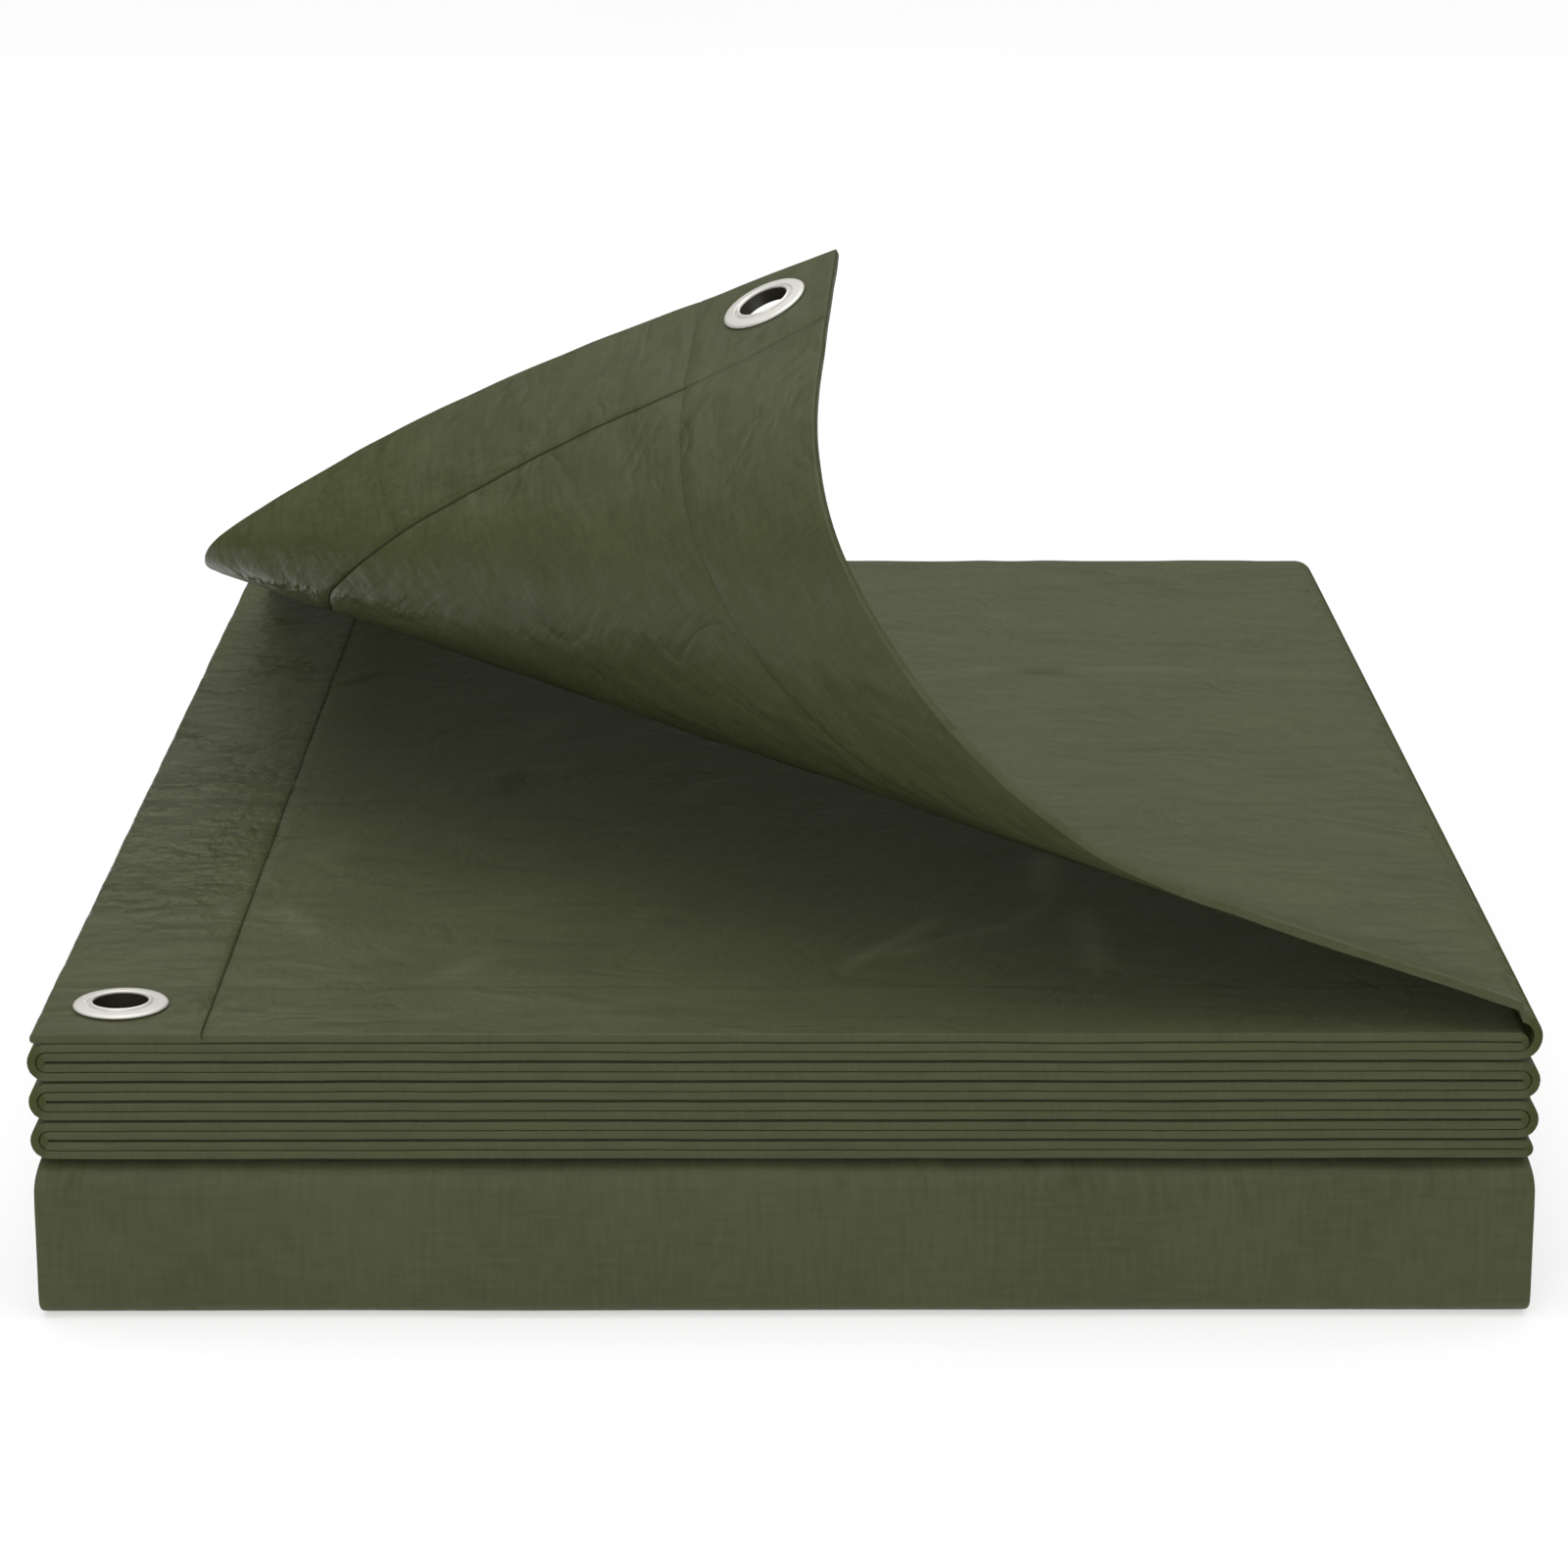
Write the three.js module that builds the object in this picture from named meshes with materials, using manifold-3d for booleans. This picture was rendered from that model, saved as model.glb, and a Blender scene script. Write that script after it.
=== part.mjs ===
import * as THREE from 'three';
import Module from 'manifold-3d';

// A woven poly tarp, folded flat, with one corner of its top layer turned back.
// Millimetres. X runs across the front, Y from front to back, Z up from the floor.

// Overall sizes
const FRONT = -258;             // front edges of the upper layers
const BACK = 260;               // back edges of the upper layers
const TOP_TURN_X = 184.6;       // centre of the top layer's right-hand turn, from the middle
const MOUTH_TURN_X = 185;       // centre of the turn nested in it
const RIGHT_TURN_X = 185.7;     // centre of the other right-hand turns
const LEFT_TURN_X = 185.9;      // centre of the left-hand turns
const LOWER_HALF_WIDTH = 190.2; // the lower bundle, from the middle to each side
const GAP = 0.3;                // between separate pieces

// Upper bundle: a double sheet folded from side to side
const CLOTH = 2.2;              // thickness of one layer
const TOP_LEVEL = 79.6;         // middle of the turned-back layer where it lies flat
const MOUTH_LEVEL = 74.4;       // middle of the layer that the open corner shows
const FIRST_STRIP_LEVEL = 71.9; // middle of the upper layer of the second strip
const STRIP_PITCH = 5.23;       // from one double strip to the next
const PAIR_PITCH = 2.5;         // between the two layers of a double strip
const STRIPS = 7;
const HALF_FOLD_X = 187.3;      // where the sheet's own half fold begins
const PARTING_X = 179;          // in the second strip, where the top layer's solid ends
const WIDE_TURN_STEPS = 8;      // facets of the turns next to the top two layers
const TIGHT_TURN_STEPS = 4;     // facets of all other side turns

// Side hems, cut as strips of their own because they hold the eyelets
const HEM = 2.6;                // a hem is thicker than the single sheet
const MOUTH_EDGE = -189.8;      // free edge of the mouth layer
const MOUTH_HEM_WIDTH = 43.2;
const MOUTH_HEM_LEVEL = 74.6;   // middle of that layer's hem
const FLAP_EDGE = -181;         // free edge of the turned-back layer
const FLAP_HEM_WIDTH = 44;

// Lower bundle: one sheet wrapped from front to back, in nested turns
const LOWER_CLOTH = 2.1;
const LOWER_TOP = 40.55;        // middle of its top layer
const LOWER_BOTTOM = 1.05;      // middle of its bottom layer
const NEST_PITCH = 2.55;        // from one nested turn to the next
const NESTS = 8;
const NOSE_START = -240;        // where the front turns begin
const NOSE_REACH = 18.9;        // how far the outermost turn comes forward from there
const NOSE_SQUARENESS = 9;      // of the outermost turn: 2 is round, larger is squarer
const ROUND = 2;
const NOSE_STEPS = 14;
const BACK_TURN_Y = 257;        // where the back turns begin
const LINK_LENGTH = 4;          // overlap of the lower bundle with the last strip
const LINK_TURN_STEPS = 6;
const FOOT_HEIGHT = 4;          // the ends draw in below this height
const FOOT_DRAW_IN = 1.1;
const SHOULDER_DEPTH = 7;       // and within this depth of the top layer
const SHOULDER_DRAW_IN = 1.4;

// Eyelets
const EYELET = {
  bore: 7.0,
  barrel: 7.7,
  hole: 8.0,
  lip: 8.4,
  rim: 12.2,
  recess: 12.3,
  recessDepth: 1.3,
  washer: 11.9,
  washerThickness: 1.0,
};
const MOUTH_EYELET = { fromSide: 20.1, fromFront: 21.9 };
const FLAP_EYELET = { fromSide: 20.5, fromFront: 20 };
const SEGMENTS = 40;            // facets round an eyelet
const CUTTER_LENGTH = 12;       // longer than a hem is thick

// The turned-back corner is bent along a fan of straight lines. Each row gives
// where a line meets the free side edge and the front edge, and the bend so far.
const BEND_LINES = [
  { side: 505, front: 204, bend: 0 },
  { side: 482, front: 186, bend: 22.5 },
  { side: 228, front: 103, bend: 24.5 },
  { side: 222, front: 82, bend: 35 },
  { side: 216, front: 67, bend: 46 },
  { side: 211, front: -21, bend: 98 },
  { side: 205, front: -57, bend: 130.5 },
  { side: 84, front: -99, bend: 153.5 },
];
const BENDS_PER_ROW = 6;

// Grid lines on the turned-back layer: across from the middle, and back from the front
const FLAP_COLUMNS = [
  -126, -114, -102, -90, -78, -66, -54, -42, -30, -18, -6, 8, 24, 40, 56, 72, 88, 106, 124, 140,
  154, 166, 176,
];
const FLAP_ROWS = [
  0, 16, 30, 44, 56, 68, 80, 92, 104, 116, 128, 140, 150, 160, 170, 180, 190, 200, 207, 214, 221,
  228, 236, 248, 268, 300, 335, 370, 410, 440, 458, 472, 486, 500,
];
const UPPER_DEPTH = BACK - FRONT;

const wasm = await Module();
wasm.setup();
const { Manifold, Mesh } = wasm;

function between(a, b, share) {
  return a + (b - a) * share;
}

// The fan of bends, from the flat side to the loose corner
function bendFan() {
  const fan = [];
  for (let row = 0; row + 1 < BEND_LINES.length; row += 1) {
    const from = BEND_LINES[row];
    const to = BEND_LINES[row + 1];
    for (let step = 0; step < BENDS_PER_ROW; step += 1) {
      const share = (step + 0.5) / BENDS_PER_ROW;
      const start = new THREE.Vector3(FLAP_EDGE, between(from.side, to.side, share), 0);
      const end = new THREE.Vector3(between(from.front, to.front, share), 0, 0);
      fan.push({
        start,
        axis: end.sub(start).normalize(),
        angle: -THREE.MathUtils.degToRad((to.bend - from.bend) / BENDS_PER_ROW),
      });
    }
  }
  return fan;
}

const FAN = bendFan();

// Carries a point of the flat layer, with its height above the middle of the sheet,
// round every bend that lies between it and the flat side
function turnBack(x, fromFront, height) {
  const point = new THREE.Vector3(x, fromFront, height);
  for (const { start, axis, angle } of [...FAN].reverse()) {
    const cornerSide = axis.x * (fromFront - start.y) - axis.y * (x - start.x) < 0;
    if (cornerSide) {
      point.sub(start).applyAxisAngle(axis, angle).add(start);
    }
  }
  return point;
}

function flapPoint(x, z, y) {
  const point = turnBack(x, y - FRONT, z - TOP_LEVEL);
  return [point.x, point.y + FRONT, point.z + TOP_LEVEL];
}

// Points of a half turn in a section, without its two ends
function halfTurn(centre, radius, side, steps) {
  const points = [];
  const down = Math.sign(radius);
  for (let step = 1; step < steps; step += 1) {
    const angle = (Math.PI * step) / steps;
    points.push({
      a: centre.a + side * Math.abs(radius) * Math.sin(angle),
      b: centre.b + down * Math.abs(radius) * Math.cos(angle),
    });
  }
  return points;
}

// Two points of the section's outline beside each point of its middle line
function besideMiddle(path, index, halfThickness) {
  const here = path[index];
  const before = path[Math.max(index - 1, 0)];
  const after = path[Math.min(index + 1, path.length - 1)];
  const arriving = new THREE.Vector2(here.a - before.a, here.b - before.b).normalize();
  const leaving = new THREE.Vector2(after.a - here.a, after.b - here.b).normalize();
  const along = arriving.clone().add(leaving).normalize();
  const mitre = index > 0 && index < path.length - 1 ? Math.sqrt((1 + arriving.dot(leaving)) / 2) : 1;
  const offset = halfThickness / mitre;
  return [1, -1].map((side) => ({
    a: here.a - side * along.y * offset,
    b: here.b + side * along.x * offset,
  }));
}

// A closed sheet: a section's middle line, thickened and carried along its stations.
// Neighbouring columns can have different stations, and are joined by triangles.
function sheet(path, thickness, stationsOf, place) {
  const positions = [];
  const triangles = [];
  const column = (point, beside) => stationsOf(point).map((station) => {
    positions.push(...place(beside.a, beside.b, station, point));
    return { vertex: positions.length / 3 - 1, station };
  });
  const columns = path.map((point, index) => {
    return besideMiddle(path, index, thickness / 2).map((beside) => column(point, beside));
  });
  const face = (one, two, three) => triangles.push(one.vertex, two.vertex, three.vertex);
  const quad = (one, two, three, four) => {
    face(one, two, three);
    face(one, three, four);
  };
  const join = (first, second) => {
    let i = 0;
    let j = 0;
    while (i + 1 < first.length || j + 1 < second.length) {
      const advanceFirst = j + 1 === second.length
        || (i + 1 < first.length && first[i + 1].station <= second[j + 1].station);
      if (advanceFirst) {
        face(first[i], second[j], first[i + 1]);
        i += 1;
      } else {
        face(first[i], second[j], second[j + 1]);
        j += 1;
      }
    }
  };
  const joinEnd = (upper, lower) => {
    for (let i = 0; i + 1 < upper.length; i += 1) {
      quad(upper[i], upper[i + 1], lower[i + 1], lower[i]);
    }
  };
  for (let i = 0; i + 1 < columns.length; i += 1) {
    const [upper, lower] = columns[i];
    const [nextUpper, nextLower] = columns[i + 1];
    join(upper, nextUpper);
    join(nextLower, lower);
    quad(upper[0], lower[0], nextLower[0], nextUpper[0]);
    quad(lower.at(-1), upper.at(-1), nextUpper.at(-1), nextLower.at(-1));
  }
  joinEnd(...columns[0]);
  joinEnd(columns.at(-1)[1], columns.at(-1)[0]);
  return solidFrom(positions, triangles);
}

function solidFrom(positions, triangles) {
  const mesh = new Mesh({
    numProp: 3,
    vertProperties: new Float32Array(positions),
    triVerts: new Uint32Array(triangles),
  });
  mesh.merge();
  return new Manifold(mesh);
}

// The levels of the double strips, counting the top layer and the mouth layer as the first
function upperLevel(strip) {
  return FIRST_STRIP_LEVEL - STRIP_PITCH * (strip - 2);
}

function lowerLevel(strip) {
  return upperLevel(strip) - PAIR_PITCH;
}

// A turn from one level to another, bulging away from the middle
function turnAt(centreX, fromLevel, toLevel, steps) {
  const side = Math.sign(centreX);
  const centre = { a: centreX, b: (fromLevel + toLevel) / 2 };
  const radius = (fromLevel - toLevel) / 2;
  return [
    { a: centre.a, b: fromLevel },
    ...halfTurn(centre, radius, side, steps),
    { a: centre.a, b: toLevel },
  ];
}

// The top layer's section: the layer itself, and its turn down into the second strip
function topLayerPath() {
  const columns = [FLAP_EDGE + FLAP_HEM_WIDTH + GAP, ...FLAP_COLUMNS];
  const turn = turnAt(TOP_TURN_X, TOP_LEVEL, lowerLevel(2), WIDE_TURN_STEPS);
  turn[0].bends = true;
  return [
    ...columns.map((x) => ({ a: x, b: TOP_LEVEL, bends: true })),
    ...turn,
    { a: PARTING_X, b: lowerLevel(2) },
  ];
}

// The top layer is a solid of its own, because it bends round the open corner
function topLayer() {
  const rows = [...FLAP_ROWS, UPPER_DEPTH].map((row) => FRONT + row);
  return sheet(
    topLayerPath(),
    CLOTH,
    (point) => (point.bends ? rows : [FRONT, BACK]),
    (x, z, y, point) => (point.bends ? flapPoint(x, z, y) : [x, y, z]),
  );
}

// The section of all other layers: down through the strips, round the half fold, and back up
function stripsPath() {
  const path = [{ a: PARTING_X - GAP, b: lowerLevel(2) }];
  for (let strip = 2; strip < STRIPS; strip += 1) {
    const turn = strip % 2
      ? turnAt(RIGHT_TURN_X, upperLevel(strip), lowerLevel(strip + 1), WIDE_TURN_STEPS)
      : turnAt(-LEFT_TURN_X, lowerLevel(strip), upperLevel(strip + 1), TIGHT_TURN_STEPS);
    path.push(...turn);
  }
  path.push(...turnAt(HALF_FOLD_X, upperLevel(STRIPS), lowerLevel(STRIPS), TIGHT_TURN_STEPS));
  for (let strip = STRIPS - 1; strip > 1; strip -= 1) {
    const turn = strip % 2
      ? turnAt(RIGHT_TURN_X, upperLevel(strip + 1), lowerLevel(strip), TIGHT_TURN_STEPS)
      : turnAt(-LEFT_TURN_X, lowerLevel(strip + 1), upperLevel(strip), WIDE_TURN_STEPS);
    path.push(...turn);
  }
  path.push(...turnAt(MOUTH_TURN_X, upperLevel(2), MOUTH_LEVEL, TIGHT_TURN_STEPS));
  path.push({ a: MOUTH_EDGE + MOUTH_HEM_WIDTH + GAP, b: MOUTH_LEVEL });
  return path;
}

function strips() {
  return sheet(stripsPath(), CLOTH, () => [FRONT, BACK], (x, z, y) => [x, y, z]);
}

// A front turn of the lower bundle, from its upper layer down to its lower one
function noseTurn(upper, lower, reach, squareness) {
  const points = [];
  const power = 2 / squareness;
  for (let step = 0; step <= NOSE_STEPS; step += 1) {
    const angle = Math.PI / 2 - (Math.PI * step) / NOSE_STEPS;
    points.push({
      a: NOSE_START - reach * Math.abs(Math.cos(angle)) ** power,
      b: (upper + lower) / 2
        + ((upper - lower) / 2) * Math.sign(Math.sin(angle)) * Math.abs(Math.sin(angle)) ** power,
    });
  }
  return points;
}

// The lower bundle's section, seen from the side. It hangs from the last strip by a back turn.
function lowerPath() {
  const linkLevel = lowerLevel(STRIPS);
  const path = [
    { a: BACK_TURN_Y - LINK_LENGTH, b: linkLevel },
    ...turnAt(BACK_TURN_Y, linkLevel, LOWER_TOP, LINK_TURN_STEPS),
  ];
  for (let nest = 0; nest < NESTS; nest += 1) {
    const inset = nest * NEST_PITCH;
    const squareness = between(NOSE_SQUARENESS, ROUND, nest / (NESTS - 1));
    const nose = noseTurn(LOWER_TOP - inset, LOWER_BOTTOM + inset, NOSE_REACH - inset, squareness);
    const downward = nest % 2 === 0;
    path.push(...(downward ? nose : nose.reverse()));
    if (nest + 1 < NESTS) {
      const level = downward ? LOWER_BOTTOM + inset : LOWER_TOP - inset;
      const next = downward ? level + NEST_PITCH : level - NEST_PITCH;
      path.push(...turnAt(BACK_TURN_Y, level, next, TIGHT_TURN_STEPS));
    }
  }
  path.push({ a: BACK_TURN_Y, b: LOWER_TOP - (NESTS - 1) * NEST_PITCH });
  return path;
}

function lowerBundle() {
  const reachAt = (z) => {
    const foot = Math.max(0, 1 - z / FOOT_HEIGHT);
    const shoulder = Math.min(1, Math.max(0, 1 - (LOWER_TOP - z) / SHOULDER_DEPTH));
    return LOWER_HALF_WIDTH - FOOT_DRAW_IN * foot ** 2 - SHOULDER_DRAW_IN * shoulder ** 2;
  };
  return sheet(
    lowerPath(),
    LOWER_CLOTH,
    () => [-1, 1],
    (y, z, side) => [-side * reachAt(z), y, z],
  );
}

// A hem strip, with the eyelet's hole and the recess for its washer cut out of it
function hemStrip(path, stations, place, seat) {
  const strip = sheet(path, HEM, () => stations, place);
  const hole = Manifold.cylinder(CUTTER_LENGTH, EYELET.hole, EYELET.hole, SEGMENTS, true);
  const recess = Manifold.cylinder(CUTTER_LENGTH, EYELET.recess, EYELET.recess, SEGMENTS)
    .translate([0, 0, EYELET.recessDepth - HEM / 2 - CUTTER_LENGTH]);
  const tool = hole.add(recess).transform(seat.toArray());
  return strip.subtract(tool);
}

// Frames of the two eyelets: their Z points out of the face that carries the flange
function mouthSeat() {
  const seat = new THREE.Matrix4();
  const x = MOUTH_EDGE + MOUTH_EYELET.fromSide;
  seat.setPosition(x, FRONT + MOUTH_EYELET.fromFront, MOUTH_HEM_LEVEL);
  return seat;
}

function flapSeat() {
  const x = FLAP_EDGE + FLAP_EYELET.fromSide;
  const y = FRONT + FLAP_EYELET.fromFront;
  const at = (dx, dy) => new THREE.Vector3(...flapPoint(x + dx, TOP_LEVEL, y + dy));
  const centre = at(0, 0);
  const across = at(1, 0).sub(centre).normalize();
  const back = at(0, 1).sub(centre).normalize();
  const outward = across.clone().cross(back).negate();
  const seat = new THREE.Matrix4().makeBasis(across, back.negate(), outward);
  seat.setPosition(centre);
  return seat;
}

// A closed ring turned about Z from a profile of radius and height
function ring(profile) {
  const positions = [];
  const triangles = [];
  const count = profile.length;
  for (let segment = 0; segment < SEGMENTS; segment += 1) {
    const angle = (2 * Math.PI * segment) / SEGMENTS;
    for (const { r, h } of profile) {
      positions.push(r * Math.cos(angle), r * Math.sin(angle), h);
    }
    const next = (segment + 1) % SEGMENTS;
    for (let i = 0; i < count; i += 1) {
      const j = (i + 1) % count;
      const a = segment * count + i;
      const b = segment * count + j;
      const c = next * count + j;
      const d = next * count + i;
      triangles.push(a, c, b, a, d, c);
    }
  }
  return { positions, triangles };
}

// Heights are from the middle of the hem strip
const HEM_FACE = HEM / 2;

function eyeletRing() {
  const seatLevel = HEM_FACE + GAP;
  const foot = -HEM_FACE;
  return ring([
    { r: EYELET.bore, h: foot },
    { r: EYELET.barrel, h: foot },
    { r: EYELET.barrel, h: seatLevel },
    { r: EYELET.rim - 0.2, h: seatLevel },
    { r: EYELET.rim, h: seatLevel + 0.3 },
    { r: EYELET.rim - 0.5, h: seatLevel + 0.8 },
    { r: EYELET.lip + 0.3, h: seatLevel + 1.05 },
    { r: EYELET.lip, h: seatLevel + 0.75 },
    { r: EYELET.lip - 0.3, h: seatLevel + 1.25 },
    { r: EYELET.bore + 0.6, h: seatLevel + 1.5 },
    { r: EYELET.bore + 0.1, h: seatLevel + 1.15 },
    { r: EYELET.bore, h: seatLevel + 0.6 },
  ]);
}

function washerRing() {
  const foot = -HEM_FACE;
  return ring([
    { r: EYELET.hole, h: foot },
    { r: EYELET.washer, h: foot },
    { r: EYELET.washer, h: foot + EYELET.washerThickness },
    { r: EYELET.hole, h: foot + EYELET.washerThickness },
  ]);
}

// Materials
const tarpMaterial = { color: 0x5b5e48, roughness: 0.55, metalness: 0 };
const hemMaterial = { color: 0x5d6049, roughness: 0.5, metalness: 0 };
const metalMaterial = { color: 0xd8d4c8, roughness: 0.35, metalness: 0.9 };

function node(name, positions, triangles, look) {
  const geometry = new THREE.BufferGeometry();
  geometry.setAttribute('position', new THREE.Float32BufferAttribute(positions, 3));
  geometry.setIndex(Array.from(triangles));
  geometry.computeVertexNormals();
  const mesh = new THREE.Mesh(geometry, new THREE.MeshStandardMaterial(look));
  mesh.name = name;
  return mesh;
}

function solidNode(name, solid, look) {
  const { vertProperties, triVerts } = solid.getMesh();
  return node(name, Array.from(vertProperties), triVerts, look);
}

function ringNode(name, { positions, triangles }, seat) {
  const mesh = node(name, positions, triangles, metalMaterial);
  mesh.geometry.applyMatrix4(seat);
  return mesh;
}

const hemRows = FLAP_ROWS.map((row) => FRONT + row);
const mouthHem = hemStrip(
  [
    { a: MOUTH_EDGE, b: MOUTH_HEM_LEVEL },
    { a: MOUTH_EDGE + MOUTH_HEM_WIDTH, b: MOUTH_HEM_LEVEL },
  ],
  [FRONT, BACK],
  (x, z, y) => [x, y, z],
  mouthSeat(),
);
const flapHem = hemStrip(
  [0, 0.25, 0.5, 0.75, 1].map((share) => ({ a: FLAP_EDGE + FLAP_HEM_WIDTH * share, b: TOP_LEVEL })),
  [...hemRows, BACK],
  (x, z, y) => flapPoint(x, z, y),
  flapSeat(),
);

const group = new THREE.Group();
group.add(
  solidNode('cloth', strips().add(lowerBundle()), tarpMaterial),
  solidNode('top_layer', topLayer(), tarpMaterial),
  solidNode('hem_strip_lower', mouthHem, hemMaterial),
  solidNode('hem_strip_upper', flapHem, hemMaterial),
  ringNode('eyelet_lower', eyeletRing(), mouthSeat()),
  ringNode('washer_lower', washerRing(), mouthSeat()),
  ringNode('eyelet_upper', eyeletRing(), flapSeat()),
  ringNode('washer_upper', washerRing(), flapSeat()),
);

export default group;
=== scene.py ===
import math

import bmesh
import bpy
import numpy as np
from mathutils import Matrix, Vector


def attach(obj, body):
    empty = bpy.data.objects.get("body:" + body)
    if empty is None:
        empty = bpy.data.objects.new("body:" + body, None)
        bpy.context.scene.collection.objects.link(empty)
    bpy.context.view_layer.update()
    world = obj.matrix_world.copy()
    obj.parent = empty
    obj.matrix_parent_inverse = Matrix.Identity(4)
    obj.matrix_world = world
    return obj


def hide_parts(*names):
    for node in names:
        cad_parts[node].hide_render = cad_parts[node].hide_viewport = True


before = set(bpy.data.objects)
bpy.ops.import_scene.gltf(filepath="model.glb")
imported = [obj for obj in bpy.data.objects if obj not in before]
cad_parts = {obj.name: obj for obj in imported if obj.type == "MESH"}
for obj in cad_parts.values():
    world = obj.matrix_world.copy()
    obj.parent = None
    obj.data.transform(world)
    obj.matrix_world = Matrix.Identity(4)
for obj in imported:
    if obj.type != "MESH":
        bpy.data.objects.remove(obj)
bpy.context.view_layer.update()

# The folded tarp, in metres. X runs across the front, Y from front to back, Z up from the floor.
# Sizes that the solids share
FRONT = -0.258
BACK = 0.260
DEPTH = BACK - FRONT
TOP_TURN_X = 0.1846
MOUTH_TURN_X = 0.185
RIGHT_TURN_X = 0.1857
LEFT_TURN_X = 0.1859
HALF_FOLD_X = 0.1873
CLOTH = 0.0022
TOP_LEVEL = 0.0796
MOUTH_LEVEL = 0.0744
FIRST_STRIP_LEVEL = 0.0719
STRIP_PITCH = 0.00523
PAIR_PITCH = 0.00238
STRIPS = 7
MOUTH_EDGE = -0.1898
MOUTH_HEM_WIDTH = 0.0432
FLAP_EDGE = -0.181
FLAP_HEM_WIDTH = 0.044

# Lower bundle
LOWER_HALF_WIDTH = 0.1902
LOWER_CLOTH = 0.0021
LOWER_TOP = 0.04055
LOWER_BOTTOM = 0.00105
NEST_PITCH = 0.00255
NESTS = 8
NOSE_START = -0.240
NOSE_REACH = 0.0189
# How square the outermost front turn is above and below its middle (2 is round)
NOSE_SQUARENESS = (5, 9)
ROUND = 2
BACK_TURN_Y = 0.257
LINK_LENGTH = 0.004
FOOT_HEIGHT = 0.004
FOOT_DRAW_IN = 0.0011
SHOULDER_DEPTH = 0.007
SHOULDER_DRAW_IN = 0.0014

# The turned-back corner: where each bend line meets the free side edge (from the front)
# and the front edge (from the middle), and the bend so far in degrees
BEND_LINES = [
    {"side": 0.505, "front": 0.204, "bend": 0},
    {"side": 0.482, "front": 0.186, "bend": 22.5},
    {"side": 0.228, "front": 0.103, "bend": 24.5},
    {"side": 0.222, "front": 0.082, "bend": 35},
    {"side": 0.216, "front": 0.067, "bend": 46},
    {"side": 0.211, "front": -0.021, "bend": 98},
    {"side": 0.205, "front": -0.057, "bend": 130.5},
    {"side": 0.084, "front": -0.099, "bend": 153.5},
]
BENDS_PER_ROW = 16

# Hems
HEM_RISE = 0.0002
HEM_GROOVE = 0.00035
HEM_LINE_HALF = 0.0006
FLAP_FRONT_HEM = 0.0415
MOUTH_FRONT_HEM = 0.039
FRONT_HEM_RISE = 0.00018
# How much wider than FLAP_HEM_WIDTH the flap's hem is, at these distances from the front
HEM_SPREAD_AT = [0.0, 0.016, 0.04, 0.056, 0.088, 0.12, 0.144, 0.16, 0.176, 0.192, 0.24, 0.3]
HEM_SPREAD = [
    -0.0005, 0.004, 0.0098, 0.010, 0.007, 0.0042, 0.0018, -0.001, -0.0038, -0.003, -0.005, -0.003
]

# Eyelets
MOUTH_EYELET = (0.0201, 0.0219)
FLAP_EYELET = (0.0205, 0.020)
EYELET_HOLE = 0.008
HEM_HALF = 0.0013
GAP = 0.0003
EYELET_SEGMENTS = 128
# The part of an eyelet's inside that lies in the shade of its rolled lip
NECK_RADIUS = 0.0079
NECK_TOP = 0.0024

MM = 0.001

# How crinkled the film on the cloth is where it lies flat, as a share of the most
SMOOTH_FILM = 0.12

# Creases: two ends as (from the middle, from the front), half width, height (below 0 in a trough)
FLAP_CREASES = [
    ((0.0598, 0.3567), (0.073, 0.3602), 0.0028, 0.00048),
    ((0.0767, 0.3532), (0.0923, 0.3566), 0.003, -0.00048),
    ((0.0923, 0.3566), (0.138, 0.3581), 0.003, 0.00051),
    ((0.138, 0.3581), (0.1882, 0.3493), 0.0032, 0.00029),
    ((0.0884, 0.4176), (0.0956, 0.4266), 0.003, 0.0004),
    ((0.0899, 0.3966), (0.099, 0.3966), 0.003, -0.00032),
    ((0.0705, 0.4305), (0.0805, 0.4305), 0.003, 0.00032),
]
MOUTH_CREASES = [
    ((-0.1442, 0.3606), (-0.1316, 0.3797), 0.0028, 0.0008),
    ((-0.1418, 0.3567), (-0.1305, 0.375), 0.0025, -0.0006),
    ((-0.1637, 0.4174), (-0.1604, 0.4244), 0.0028, 0.0004),
    ((-0.091, 0.2435), (-0.0615, 0.259), 0.003, 0.0008),
    ((-0.0776, 0.2753), (-0.0716, 0.3173), 0.003, 0.0006),
    ((-0.0821, 0.2203), (-0.0784, 0.2557), 0.0037, -0.0006),
    ((-0.0956, 0.1665), (-0.0884, 0.1815), 0.003, 0.0004),
    ((-0.0328, 0.2094), (-0.0201, 0.2409), 0.003, 0.0005),
    ((0.0135, 0.0494), (0.0472, 0.1045), 0.0025, 0.001),
    ((0.0261, 0.0607), (0.0423, 0.0779), 0.0025, 0.0008),
    ((0.0423, 0.0779), (0.0647, 0.0929), 0.0025, 0.001),
    ((0.0647, 0.0929), (0.074, 0.1156), 0.0028, 0.0008),
    ((0.0745, 0.162), (0.0725, 0.115), 0.004, 0.0012),
    ((0.0822, 0.1089), (0.0827, 0.046), 0.0037, 0.001),
    ((-0.1475, 0.171), (-0.1215, 0.1812), 0.0028, 0.0004),
    ((-0.138, 0.1135), (-0.1245, 0.0805), 0.0035, 0.0006),
    ((-0.1355, 0.155), (-0.1235, 0.1725), 0.0032, 0.0005),
    ((-0.0433, 0.0918), (-0.0337, 0.1085), 0.003, 0.00044),
    ((-0.0401, 0.1385), (-0.034, 0.147), 0.003, 0.0003),
    ((-0.09, 0.043), (-0.077, 0.066), 0.0032, 0.0006),
]


def smooth(start, end, value):
    """0 before start, 1 after end, and an even rise between them."""
    share = np.clip((value - start) / (end - start), 0.0, 1.0)
    return share * share * (3 - 2 * share)


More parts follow.
